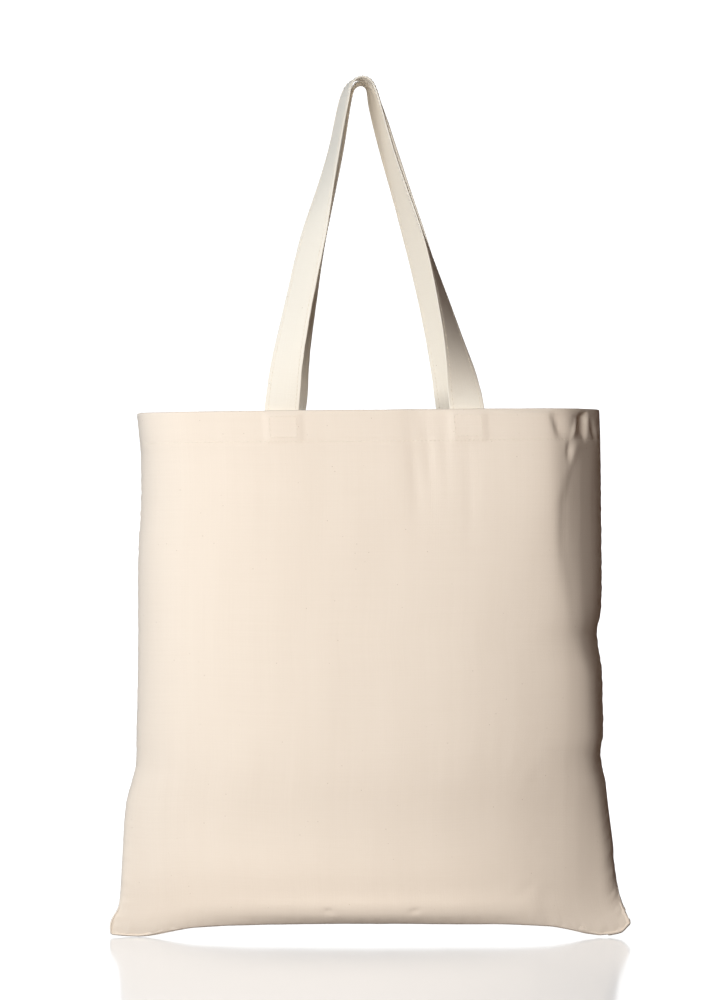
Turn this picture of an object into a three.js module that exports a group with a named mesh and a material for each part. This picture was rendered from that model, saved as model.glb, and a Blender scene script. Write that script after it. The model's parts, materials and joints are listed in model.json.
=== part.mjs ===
// A plain cotton tote bag that hangs from its two handles, with its lower corners just off the ground.
// Two sewn panels make a hollow, softly filled bag. A turned-in hem runs round its mouth,
// and the ends of two flat handles are sewn inside that hem.
// Millimetres, +Z up, +X to the right, -Y to the front. The origin is where a hook bears under the handles.
import * as THREE from "three";

// The sewn bag laid flat
const FLAT_WIDTH = 381;
const HEM_DEPTH = 25;
const CLOTH = 1.2;
const GAP = 0.3;

// How it hangs: the hem below the hook, the body's height, its middle to the right of the hook,
// and the right end of the mouth above the left end
const HANDLE_DROP = 241;
const BODY_HEIGHT = 385;
const BODY_SHIFT = 6.5;
const MOUTH_TILT = 3.5;
const SEAM_DROP = BODY_HEIGHT - CLOTH;

// Handles
const HANDLE_WIDTH = 25;
const HANDLE_THICKNESS = 2;
const HANDLE_EDGE = 0.5;
const HANDLE_SEWN = 22;

const COTTON = 0xe9dac5;
const HEM_COTTON = 0xe6d6c0;
const HANDLE_COTTON = 0xeadfcc;
const CLOTH_ROUGHNESS = 0.95;

const FRONT = -1;
const BACK = +1;
const LEFT = -1;
const RIGHT = +1;

// Level sections of the body. drop: below the hem's top edge. left and right: from the middle to the seams.
// flatness: of the front and back, from an even curve (2) to nearly flat (5).
// tuck: how the section closes on the side seams, from round (0.5) to a sharp edge (1) or flat ears (over 1).
// slack: how much of the flat width hides in fine gathers that are too small to model.
const SECTIONS = [
  { drop: 0, left: 169.6, right: 167.6, flatness: 4.8, tuck: 0.5, slack: 5 },
  { drop: 30, left: 166.6, right: 168.6, flatness: 4.5, tuck: 0.5, slack: 6 },
  { drop: 60, left: 165.2, right: 168.8, flatness: 4.1, tuck: 0.5, slack: 7 },
  { drop: 105, left: 167.6, right: 169.2, flatness: 3.6, tuck: 0.5, slack: 7 },
  { drop: 190, left: 167.8, right: 169.2, flatness: 3.0, tuck: 0.5, slack: 8 },
  { drop: 250, left: 169.8, right: 170.4, flatness: 2.7, tuck: 0.54, slack: 8 },
  { drop: 266, left: 172.4, right: 171.6, flatness: 2.6, tuck: 0.58, slack: 8 },
  { drop: 288, left: 177.8, right: 173.6, flatness: 2.5, tuck: 0.66, slack: 8 },
  { drop: 318, left: 180.4, right: 177.2, flatness: 2.4, tuck: 0.76, slack: 8.6 },
  { drop: 346, left: 182.2, right: 180.2, flatness: 2.2, tuck: 0.92, slack: 9 },
  { drop: 358, left: 183.2, right: 183.2, flatness: 2.1, tuck: 1.1, slack: 7.6 },
  { drop: 364, left: 184.6, right: 185.4, flatness: 2.0, tuck: 1.3, slack: 5.4 },
  { drop: 371, left: 189.4, right: 188.6, flatness: 2.0, tuck: 1.5, slack: 1 },
  { drop: 377, left: 190.3, right: 190.2, flatness: 2.0, tuck: 1.6, slack: 0.2 },
  { drop: SEAM_DROP, left: FLAT_WIDTH / 2, right: FLAT_WIDTH / 2, flatness: 2.0, tuck: 1.7, slack: 0 },
];

// The bottom seam, from the left corner (-1) to the right one (1). height: above the feet near its corners,
// which reach lowest. The rise fades out up the panels, as a power of the share of the way down.
const BOTTOM_EDGE = [
  { along: -1, height: 0.6 },
  { along: -0.86, height: 0 },
  { along: -0.68, height: 6.4 },
  { along: -0.3, height: 8.8 },
  { along: 0.3, height: 8.8 },
  { along: 0.68, height: 7.2 },
  { along: 0.88, height: 0 },
  { along: 1, height: 3.4 },
];
const BOTTOM_EDGE_ONSET = 7;

// Buckles in the side seams, where the cloth has length to spare. depth: how far the seam dips in.
// spread: half the height of the dip. inward: how far it runs from the seam into the panels.
const SEAM_DENTS = [
  { side: RIGHT, drop: 166, depth: 4.2, spread: 13, inward: 46 },
  { side: RIGHT, drop: 254, depth: 3.6, spread: 9, inward: 38 },
  { side: LEFT, drop: 258, depth: 1.6, spread: 12, inward: 40 },
];

// Soft upright folds that hang from the hem and fade out. across: from the body's middle.
// depth: how far a fold sinks in, or stands out where it is negative. length: how far down it reaches.
// A fold grows shallow over the last few millimetres of depth beside the seam, where the panels meet.
const HANGING_FOLDS = [
  { face: FRONT, across: -112, depth: 1.8, halfWidth: 17, length: 200 },
  { face: FRONT, across: 38, depth: 2.4, halfWidth: 13, length: 130 },
  { face: FRONT, across: 136, depth: -2.4, halfWidth: 6, length: 220 },
  { face: FRONT, across: 161, depth: 7, halfWidth: 10, length: 400 },
  { face: BACK, across: -34, depth: 2.4, halfWidth: 15, length: 150 },
  { face: BACK, across: 108, depth: 2.6, halfWidth: 16, length: 180 },
];
const FOLD_FADE = 1.5;
const FOLD_ROOM = 6;

// Each handle. spacing: between the middles of its sewn ends. offset: of the point midway between them
// from the body's middle. hookRadius: of its bend over the hook. stagger: from the origin to the bend.
const HANDLES = [
  { name: "front_handle", face: FRONT, spacing: 133, offset: 3, hookRadius: 9.5, stagger: 13.2 },
  { name: "back_handle", face: BACK, spacing: 122, offset: 1, hookRadius: 5.5, stagger: 13.2 },
];

// How a handle turns from flat against the hem to edge-on over the hook. along: share of the way up.
// The columns name the strands as they are seen from the front, and hold degrees.
const HANDLE_TWIST = [
  { along: 0, frontLeft: 0, frontRight: 0, backLeft: 0, backRight: 0 },
  { along: 0.16, frontLeft: 25, frontRight: 46, backLeft: 46, backRight: 25 },
  { along: 0.3, frontLeft: 36, frontRight: 67, backLeft: 67, backRight: 38 },
  { along: 0.5, frontLeft: 42, frontRight: 86, backLeft: 86, backRight: 48 },
  { along: 0.66, frontLeft: 62, frontRight: 88, backLeft: 88, backRight: 57 },
  { along: 0.78, frontLeft: 71, frontRight: 88, backLeft: 88, backRight: 61 },
  { along: 0.92, frontLeft: 74, frontRight: 89, backLeft: 89, backRight: 70 },
  { along: 1, frontLeft: 90, frontRight: 90, backLeft: 90, backRight: 90 },
];

// How far each strand bows out beside the straight line from the hem to the hook. along: share of that line.
const HANDLE_BOW = [
  { along: 0.13, frontLeft: 4.4, frontRight: 5.0, backLeft: 2.4, backRight: 4.4 },
  { along: 0.45, frontLeft: 8.2, frontRight: 10.2, backLeft: 2.9, backRight: 8.4 },
  { along: 0.8, frontLeft: 9.2, frontRight: 9.4, backLeft: 4.4, backRight: 7.6 },
];
const BEND_ANGLES = [168, 135, 90, 45, 12];
// A strand's column in the two tables above.
const strandName = (face, side) => (face === FRONT ? "front" : "back") + (side === LEFT ? "Left" : "Right");

// How finely the surfaces are divided, and how far rows, columns and steps crowd where the cloth turns
const PANEL_COLUMNS = 28;
const PANEL_ROWS = 34;
const HEM_ROWS = 2;
const SECTION_SAMPLES = 240;
const SEWN_STEPS = 3;
const FREE_STEPS = 60;
const WAY_SAMPLES = 1200;
const SEAM_CROWDING = 0.6;
const BOTTOM_CROWDING = 0.45;
const HOOK_CROWDING = 1.6;
const SMALLEST_SPAN = 1e-6;

// The value of one column of a table at a place between its rows, on a smooth curve through them.
function readTable(table, place, column, at) {
  const last = table.length - 1;
  let i = 0;
  while (i < last - 1 && at > table[i + 1][place]) i += 1;
  const slope = (row) => {
    const before = table[Math.max(row - 1, 0)];
    const after = table[Math.min(row + 1, last)];
    return (after[column] - before[column]) / (after[place] - before[place]);
  };
  const span = table[i + 1][place] - table[i][place];
  const t = THREE.MathUtils.clamp((at - table[i][place]) / span, 0, 1);
  const hold = t * t * (3 - 2 * t);
  const ends = THREE.MathUtils.lerp(table[i][column], table[i + 1][column], hold);
  return ends + span * t * (1 - t) * ((1 - t) * slope(i) - t * slope(i + 1));
}

// Halves the span between low and high until it holds the place where isBelow turns false.
function findPlace(low, high, isBelow) {
  const middle = (low + high) / 2;
  if (high - low < SMALLEST_SPAN) return middle;
  return isBelow(middle) ? findPlace(middle, high, isBelow) : findPlace(low, middle, isBelow);
}

// Half of a section, as a curve from the left seam to the right one.
function halfSection({ left, right, flatness, tuck }, halfDepth) {
  const points = [];
  for (let i = 0; i <= SECTION_SAMPLES; i += 1) {
    const x = Math.sin((i / SECTION_SAMPLES - 0.5) * Math.PI);
    const depth = halfDepth * Math.max(1 - Math.abs(x) ** flatness, 0) ** tuck;
    points.push(new THREE.Vector2(x * (x < 0 ? left : right), depth));
  }
  const curve = new THREE.SplineCurve(points);
  curve.arcLengthDivisions = 2 * SECTION_SAMPLES;
  return curve;
}

// The section at a height. Cloth doesn't stretch, so the flat width less the slack sets how deep it is.
const sections = new Map();
function sectionAt(drop) {
  if (!sections.has(drop)) {
    const row = {};
    for (const column of ["left", "right", "flatness", "tuck", "slack"]) {
      row[column] = readTable(SECTIONS, "drop", column, drop);
    }
    const isShort = (depth) => halfSection(row, depth).getLength() < FLAT_WIDTH - row.slack;
    sections.set(drop, halfSection(row, findPlace(0, FLAT_WIDTH / 2, isShort)));
  }
  return sections.get(drop);
}

const bell = (offset, halfWidth) => Math.exp(-((offset / halfWidth) ** 2));

// A point on the inside of the cloth. share: of the flat width, from the left seam (0) to the right one (1).
function clothPoint(face, share, drop) {
  const { x, y } = sectionAt(drop).getPointAt(share);
  const point = new THREE.Vector3(x, y, -HANDLE_DROP - drop);
  for (const dent of SEAM_DENTS) {
    const fromSeam = FLAT_WIDTH * (dent.side === RIGHT ? 1 - share : share);
    const dip = dent.depth * bell(drop - dent.drop, dent.spread) * bell(fromSeam, dent.inward);
    point.x -= dent.side * dip;
    point.y -= dip * Math.min(fromSeam / dent.inward, y / dent.inward, 1);
  }
  for (const fold of HANGING_FOLDS.filter((row) => row.face === face)) {
    const fade = Math.max(1 - drop / fold.length, 0) ** FOLD_FADE;
    const room = y / (y + FOLD_ROOM);
    point.y -= fold.depth * fade * room * bell(x - fold.across, fold.halfWidth);
  }
  point.x += BODY_SHIFT;
  point.y = face * (point.y + GAP / 2);
  const down = drop / SEAM_DROP;
  point.z += MOUTH_TILT * (share - 0.5) * (1 - down);
  point.z += readTable(BOTTOM_EDGE, "along", "height", 2 * share - 1) * down ** BOTTOM_EDGE_ONSET;
  return point;
}

// The way out of the bag, square to the cloth. At a seam it stays in the seam's plane, where the panels meet.
function outward(face, share, drop) {
  const sideStep = 0.004;
  const downStep = 1.5;
  const right = clothPoint(face, Math.min(share + sideStep, 1), drop);
  const left = clothPoint(face, Math.max(share - sideStep, 0), drop);
  const below = clothPoint(face, share, Math.min(drop + downStep, SEAM_DROP));
  const above = clothPoint(face, share, Math.max(drop - downStep, 0));
  const direction = right.sub(left).cross(below.sub(above)).multiplyScalar(face).normalize();
  if (share === 0 || share === 1) direction.set(2 * share - 1, 0, 0);
  if (drop === SEAM_DROP) direction.set(direction.x, 0, -1);
  return direction.normalize();
}

// A point at a distance outwards from the inside of the cloth, or inwards where the distance is negative.
function layerPoint(face, share, drop, distance) {
  return clothPoint(face, share, drop).addScaledVector(outward(face, share, drop), distance);
}

// A panel's columns, closer together towards the side seams, where the cloth turns.
function panelShare(column) {
  const even = column / PANEL_COLUMNS;
  return THREE.MathUtils.lerp(even, 0.5 - Math.cos(even * Math.PI) / 2, SEAM_CROWDING);
}

// A panel's rows: the hem's own first, then rows that crowd together where the panel turns under.
function panelDrop(row) {
  if (row <= HEM_ROWS) return (HEM_DEPTH * row) / HEM_ROWS;
  if (row === PANEL_ROWS) return SEAM_DROP;
  const even = (row - HEM_ROWS) / (PANEL_ROWS - HEM_ROWS);
  const crowded = THREE.MathUtils.lerp(even, Math.sin((even * Math.PI) / 2), BOTTOM_CROWDING);
  return THREE.MathUtils.lerp(HEM_DEPTH, SEAM_DROP, crowded);
}

// A closed solid from rings of points, each joined to the next. closing says how the stack ends:
// "loop" joins the last ring to the first, and "caps" fills each end ring, as a strip between its two halves.
function solidFromRings(rings, closing) {
  const size = rings[0].length;
  const last = rings.length - 1;
  const index = [];
  const at = (ring, k) => (ring % rings.length) * size + (k % size);
  const quad = (a, b, c, d) => index.push(a, b, c, a, c, d);
  for (let ring = 0; ring < (closing === "loop" ? rings.length : last); ring += 1) {
    for (let k = 0; k < size; k += 1) {
      quad(at(ring, k), at(ring, k + 1), at(ring + 1, k + 1), at(ring + 1, k));
    }
  }
  for (let k = 0; closing === "caps" && k < size / 2 - 1; k += 1) {
    const over = size - 1 - k;
    quad(at(0, k), at(0, over), at(0, over - 1), at(0, k + 1));
    quad(at(last, k), at(last, k + 1), at(last, over - 1), at(last, over));
  }
  const geometry = new THREE.BufferGeometry().setFromPoints(rings.flat());
  geometry.setIndex(isInsideOut(rings.flat(), index) ? index.reverse() : index);
  geometry.computeVertexNormals();
  return geometry;
}

// Whether the triangles enclose a negative volume.
function isInsideOut(points, index) {
  let volume = 0;
  for (let i = 0; i < index.length; i += 3) {
    const [a, b, c] = index.slice(i, i + 3).map((corner) => points[corner]);
    volume += a.dot(new THREE.Vector3().crossVectors(b, c));
  }
  return volume < 0;
}

// One panel: a wall of cloth from side seam to side seam, and from the top edge to the bottom seam.
function panelGeometry(face) {
  const rings = [];
  for (let row = 0; row <= PANEL_ROWS; row += 1) {
    const inside = [];
    const outside = [];
    for (let column = 0; column <= PANEL_COLUMNS; column += 1) {
      inside.push(layerPoint(face, panelShare(column), panelDrop(row), 0));
      outside.unshift(layerPoint(face, panelShare(column), panelDrop(row), CLOTH));
    }
    rings.push([...inside, ...outside]);
  }
  return solidFromRings(rings, "caps");
}

// The turned-in hem: one band of cloth round the inside of the mouth.
function hemGeometry() {
  const ringAt = (face, column) => {
    const ring = [];
    for (let row = 0; row <= HEM_ROWS; row += 1) {
      ring.push(layerPoint(face, panelShare(column), panelDrop(row), -GAP));
      ring.unshift(layerPoint(face, panelShare(column), panelDrop(row), -GAP - CLOTH));
    }
    return ring;
  };
  const rings = [];
  for (let column = 1; column < PANEL_COLUMNS; column += 1) rings.push(ringAt(FRONT, column));
  for (let column = PANEL_COLUMNS - 1; column > 0; column -= 1) rings.push(ringAt(BACK, column));
  return solidFromRings(rings, "loop");
}

// The share of a panel's width that lies at a place across the mouth.
function shareAcross(across) {
  return findPlace(0, 1, (share) => sectionAt(0).getPointAt(share).x < across);
}

// Where a handle's sewn end lies against the hem: across is measured from the body's middle.
function sewnPoint(face, across, drop, outOffset) {
  const inset = GAP + CLOTH + GAP + HANDLE_THICKNESS / 2;
  return layerPoint(face, shareAcross(across), drop, outOffset - inset);
}

// A handle's free way: up from the hem on the left, over the hook and down to the hem on the right.
function handleWay({ face, spacing, offset, hookRadius, stagger }) {
  const hook = new THREE.Vector3(0, face * stagger, -hookRadius);
  const strand = (side) => {
    const top = sewnPoint(face, offset + (side * spacing) / 2, 0, 0);
    const bowed = HANDLE_BOW.map((row) =>
      top.clone().lerp(hook, row.along).add(new THREE.Vector3(side * row[strandName(face, side)], 0, 0)),
    );
    return [top, ...bowed];
  };
  const reach = hookRadius + HANDLE_THICKNESS / 2;
  const bend = BEND_ANGLES.map((degrees) => {
    const angle = THREE.MathUtils.degToRad(degrees);
    return new THREE.Vector3(reach * Math.cos(angle), 0, reach * Math.sin(angle)).add(hook);
  });
  const points = [...strand(LEFT), ...bend, ...strand(RIGHT).reverse()];
  const way = new THREE.CatmullRomCurve3(points, false, "centripetal");
  way.arcLengthDivisions = WAY_SAMPLES;
  return way;
}

// The outline of a handle across its width: a flat rectangle with eased edges.
function handleOutline() {
  const outline = [];
  for (const [w, t] of [[LEFT, -1], [RIGHT, -1], [RIGHT, 1], [LEFT, 1]]) {
    const wide = { across: (w * HANDLE_WIDTH) / 2, out: t * (HANDLE_THICKNESS / 2 - HANDLE_EDGE) };
    const thick = { across: w * (HANDLE_WIDTH / 2 - HANDLE_EDGE), out: (t * HANDLE_THICKNESS) / 2 };
    outline.push(...(w * t > 0 ? [wide, thick] : [thick, wide]));
  }
  return outline;
}

// A handle: flat sewn ends that follow the hem, and a free strap between them that turns over the hook.
function handleGeometry(handle) {
  const { face, spacing, offset } = handle;
  const outline = handleOutline();
  const way = handleWay(handle);
  const sewnRing = (side, share) =>
    outline.map(({ across, out }) =>
      sewnPoint(face, offset + side * (spacing / 2 - face * across), HANDLE_SEWN * share, out),
    );
  const freeRing = (share) => {
    const centre = way.getPointAt(share);
    const tangent = way.getTangentAt(share);
    const strand = strandName(face, share < 0.5 ? LEFT : RIGHT);
    const wayUp = 1 - Math.abs(2 * share - 1);
    const turn = THREE.MathUtils.degToRad(readTable(HANDLE_TWIST, "along", strand, wayUp));
    const aside = new THREE.Vector3().crossVectors(tangent, new THREE.Vector3(0, 1, 0)).normalize();
    const outDirection = new THREE.Vector3(0, face * Math.cos(turn), 0);
    outDirection.addScaledVector(aside, Math.sin(turn));
    outDirection.addScaledVector(tangent, -outDirection.dot(tangent)).normalize();
    const acrossDirection = new THREE.Vector3().crossVectors(outDirection, tangent);
    return outline.map(({ across, out }) =>
      centre.clone().addScaledVector(acrossDirection, across).addScaledVector(outDirection, out),
    );
  };
  const rings = [];
  for (let i = SEWN_STEPS; i >= 0; i -= 1) rings.push(sewnRing(LEFT, i / SEWN_STEPS));
  for (let i = 1; i < FREE_STEPS; i += 1) {
    const fromHook = (2 * i) / FREE_STEPS - 1;
    rings.push(freeRing(0.5 + (Math.sign(fromHook) * Math.abs(fromHook) ** HOOK_CROWDING) / 2));
  }
  for (let i = 0; i <= SEWN_STEPS; i += 1) rings.push(sewnRing(RIGHT, i / SEWN_STEPS));
  return solidFromRings(rings, "caps");
}

function piece(name, geometry, colour) {
  const finish = { color: colour, roughness: CLOTH_ROUGHNESS, metalness: 0 };
  const material = new THREE.MeshStandardMaterial(finish);
  const mesh = new THREE.Mesh(geometry, material);
  mesh.name = name;
  return mesh;
}

const tote = new THREE.Group();
tote.add(piece("front_panel", panelGeometry(FRONT), COTTON));
tote.add(piece("back_panel", panelGeometry(BACK), COTTON));
tote.add(piece("top_hem", hemGeometry(), HEM_COTTON));
for (const handle of HANDLES) tote.add(piece(handle.name, handleGeometry(handle), HANDLE_COTTON));

export default tote;
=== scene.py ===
# %% [markdown]
# # A plain cotton tote bag, hung by its handles
# The bag is sewn from two flat pieces of unbleached cotton, with a turned-in hem round the mouth and
# two folded cotton handles. We make it here as it is made at a sewing table: cut the cloth flat, sew it
# together, let it hang, then add hem, handles and thread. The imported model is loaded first, because it
# fixes every size and place.

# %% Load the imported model
import json
import math
from collections import namedtuple

import bmesh
import bpy
import numpy as np
from mathutils import Matrix, Vector, noise
from mathutils.bvhtree import BVHTree
from mathutils.interpolate import poly_3d_calc

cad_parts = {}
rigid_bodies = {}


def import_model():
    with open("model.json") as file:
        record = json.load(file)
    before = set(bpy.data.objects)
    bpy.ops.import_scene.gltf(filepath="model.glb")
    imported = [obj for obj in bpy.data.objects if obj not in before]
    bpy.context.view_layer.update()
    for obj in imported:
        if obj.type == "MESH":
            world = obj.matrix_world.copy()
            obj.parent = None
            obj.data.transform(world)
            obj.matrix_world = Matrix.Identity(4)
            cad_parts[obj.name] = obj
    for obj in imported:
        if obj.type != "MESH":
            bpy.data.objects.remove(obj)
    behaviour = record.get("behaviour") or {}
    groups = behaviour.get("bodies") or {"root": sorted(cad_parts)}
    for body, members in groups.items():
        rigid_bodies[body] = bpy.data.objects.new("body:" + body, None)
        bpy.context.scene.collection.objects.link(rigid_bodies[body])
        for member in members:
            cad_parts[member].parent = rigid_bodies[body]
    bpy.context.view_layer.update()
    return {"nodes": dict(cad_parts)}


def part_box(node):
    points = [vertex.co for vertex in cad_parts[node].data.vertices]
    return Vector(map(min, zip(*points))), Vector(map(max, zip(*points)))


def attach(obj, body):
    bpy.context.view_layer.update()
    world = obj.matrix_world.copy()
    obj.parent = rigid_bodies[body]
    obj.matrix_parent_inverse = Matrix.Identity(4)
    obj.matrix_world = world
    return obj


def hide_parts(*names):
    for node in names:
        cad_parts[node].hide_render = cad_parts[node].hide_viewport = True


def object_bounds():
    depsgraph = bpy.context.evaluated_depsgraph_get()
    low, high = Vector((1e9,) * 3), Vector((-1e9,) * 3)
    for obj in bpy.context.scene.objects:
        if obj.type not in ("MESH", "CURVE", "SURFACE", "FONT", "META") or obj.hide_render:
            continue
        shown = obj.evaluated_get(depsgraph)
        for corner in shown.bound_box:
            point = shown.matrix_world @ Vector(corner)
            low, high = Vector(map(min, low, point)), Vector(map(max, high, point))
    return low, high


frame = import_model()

scene = bpy.context.scene
FRONT = -1
BACK = +1
PANEL_NODES = {FRONT: "front_panel", BACK: "back_panel"}

# %% [markdown]
# ## Unbleached cotton
# Calico is a plain weave of yarns that are never quite even: some run thicker (slubs), and bits of seed
# husk stay in the thread. We could paint all this with noise in space, but then the yarns would not turn
# with the folds. So every piece carries a UV map in metres of flat cloth, and the material draws its
# warp and weft along that map.

# %% Helpers for materials
def add_node(tree, kind, inputs=None, **settings):
    """Adds a shader node, sets its properties, and fills or links its inputs."""
    node = tree.nodes.new(kind)
    for name, value in settings.items():
        setattr(node, name, value)
    for name, value in (inputs or {}).items():
        socket = node.inputs[name]
        if isinstance(value, bpy.types.NodeSocket):
            tree.links.new(value, socket)
        else:
            socket.default_value = value
    return node


def add_math(tree, operation, first, second):
    """One sum of two values or sockets."""
    return add_node(tree, "ShaderNodeMath", {0: first, 1: second}, operation=operation).outputs[0]


def stretched_noise(tree, flat, scale, detail=2.0):
    """Noise that is drawn out along one way of the cloth: scale is in cycles a metre, each way."""
    place = add_node(tree, "ShaderNodeMapping", {"Vector": flat, "Scale": (scale[0], scale[1], 1.0)})
    grain = add_node(tree, "ShaderNodeTexNoise", {"Vector": place.outputs[0], "Scale": 1.0, "Detail": detail})
    return grain.outputs[0]


# %% The calico material
YARN_PITCH = 0.00062
WAVE_CYCLE = 2 * math.pi / 20
YARN_LIGHT = (0.845, 0.738, 0.618, 1.0)
YARN_DARK = (0.815, 0.706, 0.587, 1.0)
HUSK = (0.36, 0.25, 0.15, 1.0)
WARP_SLUBS = (1100.0, 9.0)
WEFT_SLUBS = (14.0, 1100.0)
HANDLING = (70.0, 5.0)
HUSKS_A_METRE = 170.0


def make_calico(name, light=YARN_LIGHT, dark=YARN_DARK, relief=1.0):
    """Unbleached cotton: an uneven plain weave with slubs and a few flecks of husk."""
    material = bpy.data.materials.new(name)
    material.use_nodes = True
    tree = material.node_tree
    shader = tree.nodes["Principled BSDF"]
    flat = add_node(tree, "ShaderNodeUVMap", uv_map="flat").outputs[0]
    warp_slubs = stretched_noise(tree, flat, WARP_SLUBS)
    weft_slubs = stretched_noise(tree, flat, WEFT_SLUBS)
    handling = stretched_noise(tree, flat, HANDLING, detail=3.0)
    slubs = add_math(tree, "ADD", warp_slubs, weft_slubs)
    tone = add_math(tree, "ADD", slubs, handling)
    shade = add_node(
        tree, "ShaderNodeMapRange",
        {"Value": tone, "From Min": 0.95, "From Max": 2.0, "To Min": 0.0, "To Max": 1.0},
    )
    yarn = add_node(
        tree, "ShaderNodeMix", {"Factor": shade.outputs[0], 6: dark, 7: light}, data_type="RGBA",
    )
    husks = add_node(
        tree, "ShaderNodeTexVoronoi", {"Vector": flat, "Scale": HUSKS_A_METRE, "Randomness": 1.0},
    )
    far = husks.outputs["Distance"]
    speck = add_node(
        tree, "ShaderNodeMapRange",
        {"Value": far, "From Min": 0.035, "From Max": 0.07, "To Min": 0.55, "To Max": 0.0},
    )
    chance = add_node(
        tree, "ShaderNodeMapRange",
        {"Value": husks.outputs["Color"], "From Min": 0.62, "From Max": 0.66, "To Min": 0.0, "To Max": 1.0},
    )
    fleck = add_math(tree, "MULTIPLY", speck.outputs[0], chance.outputs[0])
    colour = add_node(
        tree, "ShaderNodeMix", {"Factor": fleck, 6: yarn.outputs[2], 7: HUSK}, data_type="RGBA",
    )
    tree.links.new(colour.outputs[2], shader.inputs["Base Color"])
    wave_scale = WAVE_CYCLE / YARN_PITCH
    yarns = []
    for direction in ("X", "Y"):
        yarns.append(add_node(
            tree, "ShaderNodeTexWave",
            {"Vector": flat, "Scale": wave_scale, "Distortion": 1.5, "Detail": 1.0, "Detail Scale": 0.4},
            wave_type="BANDS", bands_direction=direction,
        ).outputs["Fac"])
    weave = add_math(tree, "MULTIPLY", yarns[0], yarns[1])
    fine = add_node(
        tree, "ShaderNodeBump", {"Height": weave, "Strength": 0.22 * relief, "Distance": 0.0002},
    )
    coarse = add_node(
        tree, "ShaderNodeBump",
        {"Height": slubs, "Strength": 0.16 * relief, "Distance": 0.0003, "Normal": fine.outputs[0]},
    )
    tree.links.new(coarse.outputs[0], shader.inputs["Normal"])
    shader.inputs["Roughness"].default_value = 0.92
    shader.inputs["Specular IOR Level"].default_value = 0.2
    shader.inputs["Sheen Weight"].default_value = 0.12
    shader.inputs["Sheen Roughness"].default_value = 0.6
    return material


calico = make_calico("calico")
hem_calico = make_calico("hem_calico")
STRAP_LIGHT = (0.846, 0.783, 0.672, 1.0)
STRAP_DARK = (0.822, 0.753, 0.640, 1.0)
THREAD_LIGHT = (0.86, 0.77, 0.65, 1.0)
THREAD_DARK = (0.80, 0.71, 0.58, 1.0)
strap_calico = make_calico("strap_calico", STRAP_LIGHT, STRAP_DARK, relief=1.2)
thread_cotton = make_calico("thread_cotton", THREAD_LIGHT, THREAD_DARK, relief=0.3)
print("Materials:", [m.name for m in (calico, hem_calico, strap_calico, thread_cotton)])

# %% [markdown]
# ## The shape that the bag hangs in
# A hanging bag is a stack of level sections that all have the same girth, because cloth does not stretch.
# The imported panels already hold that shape, so we feel for it: rays go in from outside, level by level,
# and the place where each one lands is a point on the cloth. The mouth slopes a little and the bottom
# seam has a foot near each corner, so the bag is first combed straight, which makes every row level.
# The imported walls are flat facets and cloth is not, so each section is evened out along its length, and
# it turns to the bottom seam in a softer curve.

# %% Feel for one panel
MOUTH_TILT = 0.0035
TOP_MARGIN = 0.0013
SEAM_MARGIN = 0.0003
SEAM_PROBES = 240
LEVELS = 170
RAYS = 260
FAR = 4.0

panel_low, panel_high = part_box("front_panel")
MIDDLE = (panel_low.x + panel_high.x) / 2
HALF_WIDTH = (panel_high.x - panel_low.x) / 2
BODY_TOP = panel_high.z - MOUTH_TILT / 2
HEM_DEPTH = 0.025


def top_height(x):
    return BODY_TOP + MOUTH_TILT / 2 * (x - MIDDLE) / HALF_WIDTH - TOP_MARGIN


def felt_bottom():
    """Places along the bottom seam and its height there, felt by rays from below."""
    mesh = frame["nodes"]["front_panel"].data
    tree = BVHTree.FromPolygons([v.co for v in mesh.vertices], [tuple(f.vertices) for f in mesh.polygons])
    places = []
    heights = []
    for x in np.linspace(panel_low.x, panel_high.x, SEAM_PROBES + 1):
        hit = tree.ray_cast(Vector((x, FRONT * SEAM_MARGIN, -FAR)), Vector((0.0, 0.0, 1.0)))[0]
        if hit is not None and hit.z < panel_low.z + HEM_DEPTH:
            places.append(x)
            heights.append(hit.z)
    return places, heights


seam_felt = felt_bottom()
print("Bottom seam felt at", len(seam_felt[0]), "places")


def seam_height(x):
    return np.interp(x, *seam_felt) + SEAM_MARGIN


def combed_tree(node):
    """The panel's solid for ray casts, with level rows: z becomes minus the share of the way down."""
    mesh = frame["nodes"][node].data
    corners = np.empty(len(mesh.vertices) * 3)
    mesh.vertices.foreach_get("co", corners)
    corners = corners.reshape(-1, 3)
    top = top_height(corners[:, 0])
    corners[:, 2] = (corners[:, 2] - top) / (top - seam_height(corners[:, 0]))
    return BVHTree.FromPolygons(corners.tolist(), [tuple(face.vertices) for face in mesh.polygons])


def level_section(tree, face, share):
    """Points on the outside of a panel at one share of the way down, from the left seam to the right one."""
    centre = Vector((MIDDLE, 0.0, -share))
    way = Vector((0.0, face, 0.0))
    depth = abs(tree.ray_cast(centre + FAR * way, -way)[0].y)
    points = []
    for angle in np.linspace(math.pi, 0.0, RAYS + 2)[1:-1]:
        way = Vector((math.cos(angle) * HALF_WIDTH, face * math.sin(angle) * depth, 0.0))
        hit = tree.ray_cast(centre + FAR * way, -way)[0]
        if hit is not None and hit.y * face > 0:
            points.append((hit.x, hit.y))
    points = np.array(points)
    left = (points[:, 0].min(), 0.0)
    right = (points[:, 0].max(), 0.0)
    return np.vstack([left, points, right])


def spaced(points, shares):
    """Points at given shares of the way along a line, and the length of the line."""
    steps = np.linalg.norm(np.diff(points, axis=0), axis=1)
    run = np.concatenate([[0.0], np.cumsum(steps)])
    places = run[-1] * shares
    return np.stack([np.interp(places, run, points[:, k]) for k in range(3)], axis=1), run[-1]


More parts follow.
